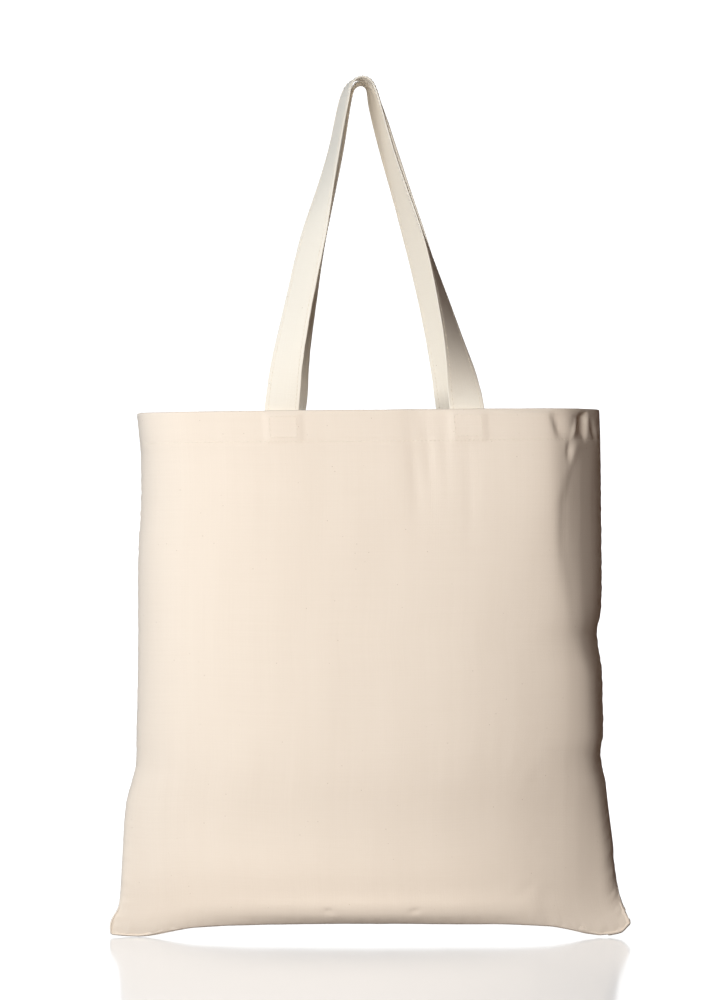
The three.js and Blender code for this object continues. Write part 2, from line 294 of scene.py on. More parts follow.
# %% Lay a net of points on both panels, finer at the crumpled right end
ROWS = 100
WIDE_COLUMNS = 74
FINE_COLUMNS = 26
FINE_FROM = 0.87
COLUMNS = WIDE_COLUMNS + FINE_COLUMNS
row_shares = np.linspace(0.0, 1.0, ROWS + 1)
wide_shares = np.linspace(0.0, FINE_FROM, WIDE_COLUMNS + 1)
fine_shares = np.linspace(FINE_FROM, 1.0, FINE_COLUMNS + 1)
column_shares = np.concatenate([wide_shares[:-1], fine_shares])
EVEN_STEPS = np.linspace(0.0, 1.0, 381)
EVEN_REACH = 9
LAST_LEVEL = 0.997
TURN_SHARE = 0.36
TURN_HEIGHT = 0.017
TURN_REACH = 0.020


def evened(line):
    """Rounds off the flat facets of a packed section. The ends of the line stay where they are."""
    start = 2 * line[0] - line[EVEN_REACH:0:-1]
    end = 2 * line[-1] - line[-2:-EVEN_REACH - 2:-1]
    longer = np.vstack([start, line, end])
    weights = np.hanning(2 * EVEN_REACH + 3)[1:-1]
    weights /= weights.sum()
    return np.stack([np.convolve(longer[:, k], weights, "valid") for k in range(3)], axis=1)


def softened(depth, above_seam):
    """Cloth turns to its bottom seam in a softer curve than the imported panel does."""
    return depth * (1 - TURN_SHARE * np.exp(-(((above_seam - TURN_HEIGHT) / TURN_REACH) ** 2)))


def laid_net(face):
    """A net of points on one panel: rows from mouth to bottom seam, columns from left seam to right."""
    tree = combed_tree(PANEL_NODES[face])
    rows = []
    girths = []
    for share in np.linspace(0.0, LAST_LEVEL, LEVELS):
        flat_section = level_section(tree, face, share)
        top = top_height(flat_section[:, 0])
        seam = seam_height(flat_section[:, 0])
        height = top - share * (top - seam)
        flat_section[:, 1] = softened(flat_section[:, 1], height - seam)
        section, girth = spaced(np.column_stack([flat_section, height]), EVEN_STEPS)
        section, _ = spaced(evened(section), column_shares)
        rows.append(section)
        girths.append(girth)
    seam = rows[-1].copy()
    seam[:, 1] = 0.0
    seam[:, 2] = seam_height(seam[:, 0])
    rows = np.array(rows + [seam])
    columns = [spaced(rows[:, i], row_shares) for i in range(COLUMNS + 1)]
    net = np.stack([column for column, _ in columns], axis=1)
    lengths = np.array([length for _, length in columns])
    print(PANEL_NODES[face], "girth", round(min(girths), 4), "to", round(max(girths), 4),
          "length", lengths.min().round(4), "to", lengths.max().round(4))
    return net, lengths


nets = {}
panel_lengths = {}
for face in (FRONT, BACK):
    nets[face], panel_lengths[face] = laid_net(face)
seams = (nets[FRONT] + nets[BACK]) / 2
seams[:, :, 1] = 0.0
for net in nets.values():
    net[:, 0] = seams[:, 0]
    net[:, -1] = seams[:, -1]
    net[-1] = seams[-1]

# %% [markdown]
# ## A seam that lies back
# A filled bag seldom hangs square: here the right seam lies a little behind the middle, so a narrow side
# of the bag turns away from the light. We could turn the whole bag, but then its front would turn too. So
# only the right end of the net is pushed back, most at the seam and not at all a few centimetres from it.
# The last centimetre turns back more sharply still, which darkens the bag's right edge.

# %% Set the right seam back
# each table has shares of the way down, and the amounts in metres there
SEAM_BACK = ((0.0, 0.07, 0.38, 0.52, 0.80, 0.925, 0.995), (0.011, 0.012, 0.012, 0.010, 0.007, 0.004, 0.0))
BACK_REACH = ((0.30, 0.50), (0.050, 0.015))
TURN_BACK = ((0.06, 0.12, 0.70, 0.95), (0.0, 0.008, 0.008, 0.0))
TURN_BACK_REACH = 0.010
set_back = np.interp(row_shares, *SEAM_BACK)
back_reach = np.interp(row_shares, *BACK_REACH)
turn_back = np.interp(row_shares, *TURN_BACK)
for net in nets.values():
    from_seam = net[:, -1:, 0] - net[:, :, 0]
    near = np.clip(1 - from_seam / back_reach[:, None], 0.0, 1.0)
    nearest = np.clip(1 - from_seam / TURN_BACK_REACH, 0.0, 1.0)
    net[:, :, 1] += set_back[:, None] * near ** 3 + turn_back[:, None] * nearest ** 3
print("The right seam lies up to", (set_back + turn_back).max().round(4), "m behind the middle")

# %% [markdown]
# ## Sew the body and let it hang
# The two flat panels are grids, sewn to each other along the sides and the bottom. Blender's Cloth can
# keep the flat grid as the cloth's true size while the bag hangs in another shape: that is what a rest
# shape key is for. The hem is held, and the rest of the cloth is only lightly held to the filled shape,
# so spare length gathers into small folds by itself. The right end is held more firmly, because its finer
# net would ripple. The bag is simulated ten times too large, because the solver works best at about the
# size of a person.

# %% Sew two flat grids together
FLAT_WIDTH = 0.381
FLAT_HEIGHT = 0.403


def flat_grid(bm):
    """A flat panel as rows of vertices, from the mouth to the bottom and from left to right."""
    made = bmesh.ops.create_grid(bm, x_segments=COLUMNS, y_segments=ROWS, size=0.5)["verts"]
    made.sort(key=lambda v: (-round(v.co.y * ROWS), v.co.x))
    return [made[r * (COLUMNS + 1):(r + 1) * (COLUMNS + 1)] for r in range(ROWS + 1)]


def sewn_body():
    """Both panels as one mesh that is joined along the seams, with the index of every grid point."""
    bm = bmesh.new()
    grids = {face: flat_grid(bm) for face in (FRONT, BACK)}
    for face, grid in grids.items():
        for row, net_row in zip(grid, nets[face]):
            for vert, place in zip(row, net_row):
                vert.co = place
    bmesh.ops.reverse_faces(bm, faces=[f for f in bm.faces if f.calc_center_median().y > 0])
    seam = {}
    for r in range(ROWS + 1):
        for c in range(COLUMNS + 1):
            if c in (0, COLUMNS) or r == ROWS:
                seam[grids[BACK][r][c]] = grids[FRONT][r][c]
    for back_row in grids[BACK]:
        back_row[:] = [seam.get(vert, vert) for vert in back_row]
    bmesh.ops.weld_verts(bm, targetmap=seam)
    bm.verts.index_update()
    index = {face: np.array([[v.index for v in row] for row in grid]) for face, grid in grids.items()}
    mesh = bpy.data.meshes.new("sewn_body")
    bm.to_mesh(mesh)
    bm.free()
    return mesh, index


body_mesh, body_index = sewn_body()
print("Sewn body:", len(body_mesh.vertices), "vertices")

# %% Let the cloth hang
SIM_SCALE = 10.0
SIM_FRAMES = 30
HELD_FRONT = 0.26
HELD_BACK = 0.18
HELD_EDGE = 0.18
HELD_RIGHT = 0.7
EDGE_REACH = 0.035
RIGHT_RAMP = (1 - FINE_FROM) / 3
FLAT_APART = 0.0005
MOST_MOVE = 0.008


def flat_places():
    """Where each vertex of the sewn body lies on the flat bag, across and down from the mouth's left end."""
    flat = np.zeros((len(body_mesh.vertices), 3))
    across, down = np.meshgrid(FLAT_WIDTH * column_shares, FLAT_HEIGHT * row_shares)
    for face in (BACK, FRONT):
        flat[body_index[face]] = np.stack([across, np.full_like(across, face * FLAT_APART), -down], axis=2)
    return flat


def holding(flat):
    """How firmly each vertex is held: the hem fully, the filled front and back lightly, the edges least."""
    from_side = np.minimum(flat[:, 0], FLAT_WIDTH - flat[:, 0])
    from_edge = np.minimum(from_side, FLAT_HEIGHT + flat[:, 2])
    inner = np.clip(from_edge / EDGE_REACH, 0.0, 1.0)
    firm = np.where(flat[:, 1] < 0, HELD_FRONT, HELD_BACK)
    held = HELD_EDGE + (firm - HELD_EDGE) * inner
    right_end = np.clip((flat[:, 0] / FLAT_WIDTH - FINE_FROM) / RIGHT_RAMP + 1, 0.0, 1.0)
    held += (HELD_RIGHT - held) * right_end
    held[-flat[:, 2] < HEM_DEPTH] = 1.0
    return held


def hang_cloth():
    """Runs the cloth and returns the place of every vertex once the bag has settled."""
    start = np.empty(len(body_mesh.vertices) * 3)
    body_mesh.vertices.foreach_get("co", start)
    start = start.reshape(-1, 3)
    flat = flat_places()
    body_mesh.transform(Matrix.Scale(SIM_SCALE, 4))
    body = bpy.data.objects.new("hanging_body", body_mesh)
    scene.collection.objects.link(body)
    body.shape_key_add(name="Basis")
    cut = body.shape_key_add(name="cut")
    cut.data.foreach_set("co", (flat * SIM_SCALE).ravel())
    cut.value = 0.0
    held = holding(flat)
    group = body.vertex_groups.new(name="held")
    for i, weight in enumerate(held):
        group.add([i], float(weight), "REPLACE")
    cloth = body.modifiers.new("Cloth", "CLOTH")
    settings = cloth.settings
    settings.quality = 8
    settings.mass = 0.15
    settings.air_damping = 2.0
    settings.tension_stiffness = 40.0
    settings.compression_stiffness = 40.0
    settings.shear_stiffness = 10.0
    settings.bending_stiffness = 1.0
    settings.rest_shape_key = cut
    settings.vertex_group_mass = "held"
    settings.pin_stiffness = 1.0
    cloth.collision_settings.use_collision = False
    cloth.point_cache.frame_start = 1
    cloth.point_cache.frame_end = SIM_FRAMES
    for step in range(1, SIM_FRAMES + 1):
        scene.frame_set(step)
    settled = body.evaluated_get(bpy.context.evaluated_depsgraph_get()).data
    places = np.empty(len(settled.vertices) * 3)
    settled.vertices.foreach_get("co", places)
    scene.frame_set(1)
    bpy.data.objects.remove(body)
    move = places.reshape(-1, 3) / SIM_SCALE - start
    size = np.linalg.norm(move, axis=1, keepdims=True)
    print("The cloth moved", size.mean().round(5), "on average and", size.max().round(5), "at most")
    return start + move * np.minimum(1.0, MOST_MOVE / np.maximum(size, 1e-9))


hung = hang_cloth()

# %% [markdown]
# ## The two panels
# Each panel is now cut free again as its own piece. Its side and bottom edges turn in to the seam
# allowance inside the bag, so that a seam shows as a crease between two soft edges. Its top edge rolls
# over into the hem. One subdivision smooths the weave of quads, and then the small marks of sewing are
# pressed in along the flat map: the hem's stitch line, the strap ends that show through, and the pucker
# beside the seams. A carried bag also keeps creases. The solver could make some, but never where we want
# them, so each one is a soft bump with its own place, height, lean and a width to either side.

# %% A panel with its seam allowances and its rolled top
ALLOWANCE = 0.008
ALLOWANCE_LEAN = 0.06
EDGE_TURN = 0.0010
CORNER_TRIM = 0.025
FOLD_RADIUS = 0.0013
FOLD_ANGLES = (45, 90, 135, 180)
LIP = 0.0012
BACK_MAP_SHIFT = 0.7


def extruded(bm, edges):
    """Extrudes a line of edges on the spot. Returns the new edges, and each new vertex with its source."""
    made = bmesh.ops.extrude_edge_only(bm, edges=edges)["geom"]
    new_verts = {g for g in made if isinstance(g, bmesh.types.BMVert)}
    pairs = []
    for vert in new_verts:
        source = next(e.other_vert(vert) for e in vert.link_edges if e.other_vert(vert) not in new_verts)
        pairs.append((vert, source))
    made_edges = [g for g in made if isinstance(g, bmesh.types.BMEdge)]
    return [e for e in made_edges if all(v in new_verts for v in e.verts)], pairs


def panel_shape(face):
    """One panel as a bmesh, with a vertex layer that keeps its place on the flat cloth."""
    bm = bmesh.new()
    flat = bm.verts.layers.float_vector.new("flat")
    grid = flat_grid(bm)
    inward = {}
    for r, row in enumerate(grid):
        for c, vert in enumerate(row):
            vert.co = hung[body_index[face][r][c]]
            vert[flat] = (FLAT_WIDTH * column_shares[c], FLAT_HEIGHT * row_shares[r], 0.0)
            way = Vector(((c == 0) - (c == COLUMNS), 0.0, r == ROWS))
            if way.length:
                inward[vert] = way.normalized()
    if face == BACK:
        bmesh.ops.reverse_faces(bm, faces=bm.faces[:])
    bm.normal_update()
    top = grid[0]
    outward = {v: Vector((v.normal.x, v.normal.y, 0.0)).normalized() for v in top}
    outward[top[0]] = Vector((-1.0, 0.0, 0.0))
    outward[top[-1]] = Vector((1.0, 0.0, 0.0))
    seam_edges = [e for e in bm.edges if e.is_boundary and all(v in inward for v in e.verts)]
    top_edges = [e for e in bm.edges if e.is_boundary and all(v in outward for v in e.verts)]
    widths = (EDGE_TURN, ALLOWANCE)
    for width in widths:
        seam_edges, pairs = extruded(bm, seam_edges)
        for vert, source in pairs:
            below_hem = min(max(source[flat].y / HEM_DEPTH - 1.0, 0.0), 1.0)
            from_side = min(source[flat].x, FLAT_WIDTH - source[flat].x)
            from_end = max(from_side, FLAT_HEIGHT - source[flat].y)
            from_corner = min(max(from_end / CORNER_TRIM - 1.0, 0.0), 1.0)
            reach = min(width, EDGE_TURN) + max(width - EDGE_TURN, 0.0) * below_hem * from_corner
            way = inward[source]
            inward[vert] = way
            vert.co = source.co + way * reach + Vector((0.0, face * reach * ALLOWANCE_LEAN, 0.0))
            vert[flat] = source[flat] - Vector((way.x, way.z, 0.0)) * reach
    base = {v: v.co.copy() for v in top}
    root = {v: v for v in top}
    for angle in FOLD_ANGLES:
        turn = math.radians(angle)
        top_edges, pairs = extruded(bm, top_edges)
        for vert, source in pairs:
            start = root[source]
            root[vert] = start
            drop_in = FOLD_RADIUS * (1 - math.cos(turn))
            vert.co = base[start] - outward[start] * drop_in
            vert.co.z += FOLD_RADIUS * math.sin(turn)
            vert[flat] = (start[flat].x, -FOLD_RADIUS * turn, 0.0)
    top_edges, pairs = extruded(bm, top_edges)
    for vert, source in pairs:
        vert.co = source.co - Vector((0.0, 0.0, LIP))
        vert[flat] = (source[flat].x, source[flat].y - LIP, 0.0)
    return bm


# %% Smooth a piece, and give it its map of flat cloth
def smoothed_mesh(bm, name, map_shift=0.0):
    """Subdivides a bmesh once as a surface, and keeps its flat places as a UV map in metres."""
    flat = bm.verts.layers.float_vector["flat"]
    uv = bm.loops.layers.uv.new("flat")
    for face in bm.faces:
        for loop in face.loops:
            place = loop.vert[flat]
            loop[uv].uv = (place.x + map_shift, place.y)
    mesh = bpy.data.meshes.new(name)
    bm.to_mesh(mesh)
    bm.free()
    rough = bpy.data.objects.new(name, mesh)
    scene.collection.objects.link(rough)
    smooth = rough.modifiers.new("Smooth", "SUBSURF")
    smooth.levels = smooth.render_levels = 1
    smooth.boundary_smooth = "PRESERVE_CORNERS"
    graph = bpy.context.evaluated_depsgraph_get()
    fine = bpy.data.meshes.new_from_object(rough.evaluated_get(graph))
    bpy.data.objects.remove(rough)
    fine.name = name
    fine.shade_smooth()
    return fine


def vertex_array(mesh, what):
    """Places or normals of a mesh as rows of three."""
    values = np.empty(len(mesh.vertices) * 3)
    source = mesh.vertices if what == "co" else mesh.vertex_normals
    source.foreach_get("co" if what == "co" else "vector", values)
    return values.reshape(-1, 3)


def flat_array(mesh):
    values = np.empty(len(mesh.vertices) * 3)
    mesh.attributes["flat"].data.foreach_get("vector", values)
    return values.reshape(-1, 3)


# %% The marks of sewing
STITCH_LINE = 0.0222
STRAP_WIDTH = 0.025
STRAP_SEWN = 0.022
GROOVE = 0.0014
STRAP_SEWN_ABOVE = 0.006
STITCH_DIP = 0.0003
HEM_STEP = 0.0004
HEM_STEP_WIDTH = 0.008
HEM_STEP_FADE = (0.04, 0.07)
STRAP_SHOWS = 0.0008
PUCKER = 0.0003
PUCKER_PLACE = 0.004
PUCKER_WIDTH = 0.005
PUCKER_WAVES = (620, 97, 211)


def bell(offset, half_width):
    return np.exp(-((offset / half_width) ** 2))


def soft_step(value, low, high):
    share = np.clip((value - low) / (high - low), 0.0, 1.0)
    return share * share * (3 - 2 * share)


def across_at(face, x, down):
    """How far across the flat panel a place at x lies, at a depth below the mouth."""
    row = hung[body_index[face][round(down / FLAT_HEIGHT * ROWS)]]
    return float(np.interp(x, row[:, 0], FLAT_WIDTH * column_shares))


def strap_ends(face):
    """How far across the mouth the two sewn ends of a handle lie, along the flat panel."""
    node = frame["nodes"]["front_handle" if face == FRONT else "back_handle"]
    sewn = np.array([v.co.x for v in node.data.vertices if v.co.z < BODY_TOP - STRAP_SEWN_ABOVE])
    sides = (sewn[sewn < MIDDLE], sewn[sewn > MIDDLE])
    return [across_at(face, (side.min() + side.max()) / 2, STRAP_SEWN / 2) for side in sides]


def sewing_marks(face, flat):
    """How far the sewing lifts (+) or presses (-) the cloth at each flat place."""
    across = flat[:, 0]
    down = flat[:, 1]
    inside = (down > 0) & (across > 0) & (across < FLAT_WIDTH) & (down < FLAT_HEIGHT)
    lift = -STITCH_DIP * bell(down - STITCH_LINE, GROOVE)
    below = soft_step(down, STITCH_LINE, STITCH_LINE + HEM_STEP_WIDTH)
    lift -= HEM_STEP * below * (1 - soft_step(down, *HEM_STEP_FADE))
    for middle in strap_ends(face):
        beside = np.abs(across - middle) - STRAP_WIDTH / 2
        end = 1 - soft_step(down, STRAP_SEWN - 0.001, STRAP_SEWN + 0.002)
        lift += STRAP_SHOWS * (1 - soft_step(beside, -0.0010, 0.0016)) * end
    from_seam = np.minimum(np.minimum(across, FLAT_WIDTH - across), FLAT_HEIGHT - down)
    along = np.where(from_seam == FLAT_HEIGHT - down, across, down)
    short, slow, long = (along * wave for wave in PUCKER_WAVES)
    ripple = np.sin(short + 2.1 * np.sin(slow)) * np.sin(long + 1.3)
    lift += PUCKER * ripple * bell(from_seam - PUCKER_PLACE, PUCKER_WIDTH)
    return lift * inside * soft_step(from_seam, 0.0, PUCKER_PLACE)


Waviness = namedtuple("Waviness", "across down part lift")
WAVES = Waviness(34, 15, 9.0, 0.0003)
STREAKS = Waviness(125, 5, 4.0, 0.00007)


def unevenness(face, flat):
    """A slight waviness of handled cloth, and faint upright streaks where the warp is tighter."""
    lift = 0.0
    for kind in (WAVES, STREAKS):
        places = [Vector((x * kind.across, y * kind.down, face * kind.part)) for x, y, _ in flat]
        lift += kind.lift * np.array([noise.noise(place) for place in places])
    return lift


# %% Creases that the hanging cloth keeps
Crease = namedtuple("Crease", "x down left right tall lean lift")
HEM_CREASES = [
    # the crumpled right end of the hem: each fold has a sharp and a gentle side
    Crease(0.1335, 0.012, 0.0018, 0.0080, 0.013, 0.22, -0.0024),
    Crease(0.1560, 0.009, 0.0085, 0.0024, 0.014, -0.14, -0.0048),
    Crease(0.1480, 0.014, 0.0022, 0.0030, 0.008, -0.45, +0.0014),
    Crease(0.1630, 0.016, 0.0026, 0.0030, 0.007, 0.30, -0.0016),
]
FRONT_CREASES = [
    # a small hooked fold below the hem's right end
    Crease(0.1430, 0.030, 0.0026, 0.0024, 0.0065, -0.15, -0.0011),
    Crease(0.1475, 0.031, 0.0024, 0.0050, 0.0080, -0.30, +0.0008),
    # broad swells beside the shaded right side
    Crease(0.1280, 0.060, 0.0300, 0.0160, 0.075, 0.05, +0.0030),
    Crease(0.1540, 0.215, 0.0300, 0.0120, 0.090, 0.03, +0.0016),
    # soft folds that hang from the hem beside the right strap
    Crease(0.0316, 0.045, 0.0040, 0.0040, 0.028, 0.06, -0.0005),
    Crease(0.0417, 0.034, 0.0036, 0.0036, 0.022, 0.04, -0.0006),
    Crease(0.0540, 0.028, 0.0032, 0.0032, 0.026, 0.02, -0.0004),
    Crease(0.0720, 0.060, 0.0050, 0.0050, 0.030, 0.03, -0.0004),
    # two tiny tucks above the bottom seam
    Crease(-0.0300, 0.384, 0.0030, 0.0030, 0.003, 0.30, -0.0010),
    Crease(0.0322, 0.384, 0.0030, 0.0030, 0.003, -0.30, -0.0010),
]


def crease_lift(flat, crease):
    """How far a crease lifts (+) or sinks (-) the front. It leans to the right by its lean, going down."""
    below = flat[:, 1] - crease.down
    middle = across_at(FRONT, MIDDLE + crease.x, crease.down) + crease.lean * below
    beside = flat[:, 0] - middle
    width = np.where(beside < 0, crease.left, crease.right)
    return crease.lift * bell(beside, width) * bell(below, crease.tall)


# %% The edge between the front and the shaded right side
Edge = namedtuple("Edge", "down x drop")
ROLL = 0.0013
ROLL_REACH = 0.005
EDGE_STEP = 0.009
EDGE_RETURN = 0.016
CORNER_FADE = (0.01, 0.05)
HEM_FOLD_TOP = 0.005
HEM_FOLD_END = (STITCH_LINE - 0.006, STITCH_LINE + 0.004)
RIGHT_EDGE = [
    Edge(0.036, 0.1425, 0.0000),
    Edge(0.050, 0.1390, 0.0010),
    Edge(0.070, 0.1335, 0.0015),
    Edge(0.100, 0.1335, 0.0013),
    Edge(0.140, 0.1390, 0.0005),
    Edge(0.176, 0.1470, 0.0000),
]


def edge_drop(flat):
    """How far the cloth falls back behind the edge of the right side. The edge wanders down the panel."""
    downs = [edge.down for edge in RIGHT_EDGE]
    line = [across_at(FRONT, MIDDLE + edge.x, edge.down) for edge in RIGHT_EDGE]
    beside = flat[:, 0] - np.interp(flat[:, 1], downs, line)
    drop = np.interp(flat[:, 1], downs, [edge.drop for edge in RIGHT_EDGE])
    to_seam = np.clip((FLAT_WIDTH - flat[:, 0]) / EDGE_RETURN, 0.0, 1.0)
    return drop * soft_step(beside, -EDGE_STEP / 4, EDGE_STEP) * to_seam


def seam_roll(flat):
    """The round edge of the cloth where it turns in to a side seam."""
    from_side = np.minimum(flat[:, 0], FLAT_WIDTH - flat[:, 0])
    share = np.maximum(from_side, 0.0) / ROLL_REACH
    below_hem = soft_step(flat[:, 1], HEM_DEPTH, 2 * HEM_DEPTH)
    above_corner = soft_step(FLAT_HEIGHT - flat[:, 1], *CORNER_FADE)
    return ROLL * share * np.exp(1 - share) * below_hem * above_corner


def on_front(flat):
    return (flat[:, 1] > 0) & (flat[:, 0] > 0) & (flat[:, 0] < FLAT_WIDTH)


def hem_folds(flat):
    """The folds at the hem's right end. They start below its top edge and end at its stitches."""
    below_top = soft_step(flat[:, 1], 0.0, HEM_FOLD_TOP)
    above_stitches = 1 - soft_step(flat[:, 1], *HEM_FOLD_END)
    lift = sum(crease_lift(flat, crease) for crease in HEM_CREASES)
    return lift * below_top * above_stitches * on_front(flat)


def front_folds(flat):
    """All folds that the front keeps."""
    lift = seam_roll(flat) - edge_drop(flat)
    lift += sum(crease_lift(flat, crease) for crease in FRONT_CREASES)
    return lift * on_front(flat) + hem_folds(flat)


print("Creases:", len(HEM_CREASES) + len(FRONT_CREASES), "and an edge of", len(RIGHT_EDGE), "points")

# %% Make the panels
CLOTH = 0.0008


def finish_piece(name, mesh, material, replaced=()):
    """Puts a finished mesh in the scene, on the bag's one body."""
    piece = bpy.data.objects.new(name, mesh)
    scene.collection.objects.link(piece)
    mesh.materials.clear()
    mesh.materials.append(material)
    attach(piece, "root")
    if replaced:
        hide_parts(*replaced)
    return piece


def thicken(piece, thickness):
    """Gives a sheet its thickness, towards the inside of the bag."""
    wall = piece.modifiers.new("Cloth thickness", "SOLIDIFY")
    wall.thickness = thickness
    wall.offset = -1.0
    wall.use_rim = True


def make_panel(face):
    name = "front_cloth" if face == FRONT else "back_cloth"
    mesh = smoothed_mesh(panel_shape(face), name, BACK_MAP_SHIFT * (face == BACK))
    places = vertex_array(mesh, "co")
    flat = flat_array(mesh)
    lift = sewing_marks(face, flat) + unevenness(face, flat)
    if face == FRONT:
        lift += front_folds(flat)
    places += vertex_array(mesh, "normal") * lift[:, None]
    mesh.vertices.foreach_set("co", places.ravel())
    mesh.update()
    panel = finish_piece(name, mesh, calico, [PANEL_NODES[face]])
    thicken(panel, CLOTH)
    print(name, len(mesh.vertices), "vertices before it gets its thickness")
    return panel


panels = {face: make_panel(face) for face in (FRONT, BACK)}

# %% [markdown]
# ## The hem inside the mouth
# The cloth that rolled over the top edge runs down inside the bag, with its raw edge turned under and
# stitched through. It is one band round the mouth, so we make it as a grid whose ends are joined, set in
# from the panels, and it takes the same folds as they do at its right end.

# %% Make the hem band
HEM_INSET = 0.0026
HEM_THICKNESS = 0.0011
HEM_TOP = 0.0012
HEM_STEPS = 12
HEM_COLUMNS = 2 * COLUMNS
HEM_MAP_SHIFT = 1.6
hem_shares = np.concatenate([column_shares[:-1], 2.0 - column_shares[::-1]])


def mouth_ring(down):
    """Places and outward directions round the mouth at a depth below the top, on the panels' outside."""
    row = down / FLAT_HEIGHT * ROWS
    low = int(row)
    places = []
    for face, step in ((FRONT, 1), (BACK, -1)):
        rows = hung[body_index[face][low:low + 2]]
        line = rows[0] + (rows[1] - rows[0]) * (row - low)
        places.append(line[::step][:-1])
    ring = np.concatenate(places)
    along = np.roll(ring, -1, axis=0) - np.roll(ring, 1, axis=0)
    outward = np.column_stack([along[:, 1], -along[:, 0], np.zeros(len(ring))])
    return ring, outward / np.linalg.norm(outward, axis=1, keepdims=True)


def hem_shape():
    """The hem as a ring of quads that faces into the bag."""
    bm = bmesh.new()
    flat = bm.verts.layers.float_vector.new("flat")
    depths = [HEM_TOP + (HEM_DEPTH - HEM_TOP) * i / HEM_STEPS for i in range(HEM_STEPS + 1)]
    verts = bmesh.ops.create_grid(bm, x_segments=HEM_COLUMNS, y_segments=HEM_STEPS, size=0.5)["verts"]
    verts.sort(key=lambda v: (-round(v.co.y * HEM_STEPS), v.co.x))
    for i, vert in enumerate(verts):
        r, c = divmod(i, HEM_COLUMNS + 1)
        ring, outward = mouth_ring(depths[r])
        vert.co = ring[c % HEM_COLUMNS] - outward[c % HEM_COLUMNS] * HEM_INSET
        vert[flat] = (FLAT_WIDTH * hem_shares[c], depths[r], 0.0)
    bmesh.ops.remove_doubles(bm, verts=bm.verts[:], dist=1e-6)
    bm.normal_update()
    facing = sum(f.normal.y * f.calc_center_median().y for f in bm.faces)
    if facing > 0:
        bmesh.ops.reverse_faces(bm, faces=bm.faces[:])
    return bm


hem_mesh = smoothed_mesh(hem_shape(), "hem_band", HEM_MAP_SHIFT)
hem_lift = hem_folds(flat_array(hem_mesh))[:, None]
hem_places = vertex_array(hem_mesh, "co") - vertex_array(hem_mesh, "normal") * hem_lift
hem_mesh.vertices.foreach_set("co", hem_places.ravel())
hem_mesh.update()
hem_band = finish_piece("hem_band", hem_mesh, hem_calico, ["top_hem"])
thicken(hem_band, HEM_THICKNESS)
print("hem_band", len(hem_mesh.vertices), "vertices")

# %% [markdown]
# ## The handles
# A handle is a strip of the same cloth, folded in on itself and stitched along both edges, so it is four
# layers thick with soft edges. It turns from flat against the hem to edge-on over the hook. The packed
# handle is a chain of rings of eight points. We read the middle, the width and the turn of each ring, draw
# smooth curves through them, and push a finer outline along those curves.

# %% Read the rings of a packed handle
RING_POINTS = 8


def handle_rings(node):
    """The rings of a handle from one sewn end to the other, as middles and width directions."""
    bm = bmesh.new()
    bm.from_mesh(frame["nodes"][node].data)
    bmesh.ops.remove_doubles(bm, verts=bm.verts[:], dist=1e-5)
    left_half = [v for v in bm.verts if v.co.x < 0]
    ring = sorted(left_half, key=lambda v: v.co.z)[:RING_POINTS]
    seen = set(ring)
    middles = []
    widths = []
    while ring:
        corners = np.array([v.co for v in ring])
        middle = corners.mean(axis=0)
        width = np.linalg.svd(corners - middle)[2][0]
        if widths and width @ widths[-1] < 0:
            width = -width
        middles.append(middle)
        widths.append(width)
        ring = list({e.other_vert(v) for v in ring for e in v.link_edges} - seen)
        seen.update(ring)
    bm.free()
    print(node, len(middles), "rings")
    return np.array(middles), np.array(widths)


def smooth_through(points, places, at):
    """A smooth curve through points at given places, read at other places."""
    slopes = np.gradient(points, places, axis=0)
    i = np.clip(np.searchsorted(places, at) - 1, 0, len(places) - 2)
    span = (places[i + 1] - places[i])[:, None]
    t = ((at - places[i]) / span[:, 0])[:, None]
    ends = points[i] * (1 + 2 * t) * (1 - t) ** 2 + points[i + 1] * t * t * (3 - 2 * t)
    return ends + span * (slopes[i] * t * (1 - t) ** 2 + slopes[i + 1] * t * t * (t - 1))


# %% Push an outline along a handle
STRAP_THICKNESS = 0.0019
STRAP_STEP = 0.004
STRAP_OUTLINE = 22
STRAP_EDGE_LINE = 0.0028
EDGE_ROUNDNESS = 0.62
FACE_ROUNDNESS = 0.45
STITCH_DENT = 0.28
DENT_WIDTH = 0.0011
WOBBLE = 0.00025
WOBBLES_A_METRE = 120
STRAP_MAP_SHIFTS = {FRONT: 2.5, BACK: 2.8}


def strap_outline():
    """The outline of a folded strap: rounded edges, and a dip where each edge is stitched."""
    outline = []
    for k in range(STRAP_OUTLINE):
        angle = 2 * math.pi * (k + 0.5) / STRAP_OUTLINE
        across = STRAP_WIDTH / 2 * math.copysign(abs(math.cos(angle)) ** EDGE_ROUNDNESS, math.cos(angle))
        thick = STRAP_THICKNESS / 2 * math.copysign(abs(math.sin(angle)) ** FACE_ROUNDNESS, math.sin(angle))
        dip = 1 - STITCH_DENT * float(bell(abs(across) - STRAP_WIDTH / 2 + STRAP_EDGE_LINE, DENT_WIDTH))
        outline.append((across, thick * dip))
    return outline


def strap_stations(node):
    """Middles, directions of width, and outward directions at even steps along a handle."""
    middles, widths = handle_rings(node)
    run = np.concatenate([[0.0], np.cumsum(np.linalg.norm(np.diff(middles, axis=0), axis=1))])
    at = np.linspace(0.0, run[-1], round(run[-1] / STRAP_STEP) + 1)
    centre = smooth_through(middles, run, at)
    tangent = np.gradient(centre, at, axis=0)
    tangent /= np.linalg.norm(tangent, axis=1, keepdims=True)
    width = smooth_through(widths, run, at)
    width -= tangent * (width * tangent).sum(axis=1, keepdims=True)
    width /= np.linalg.norm(width, axis=1, keepdims=True)
    return {"at": at, "centre": centre, "tangent": tangent, "width": width, "out": np.cross(tangent, width)}


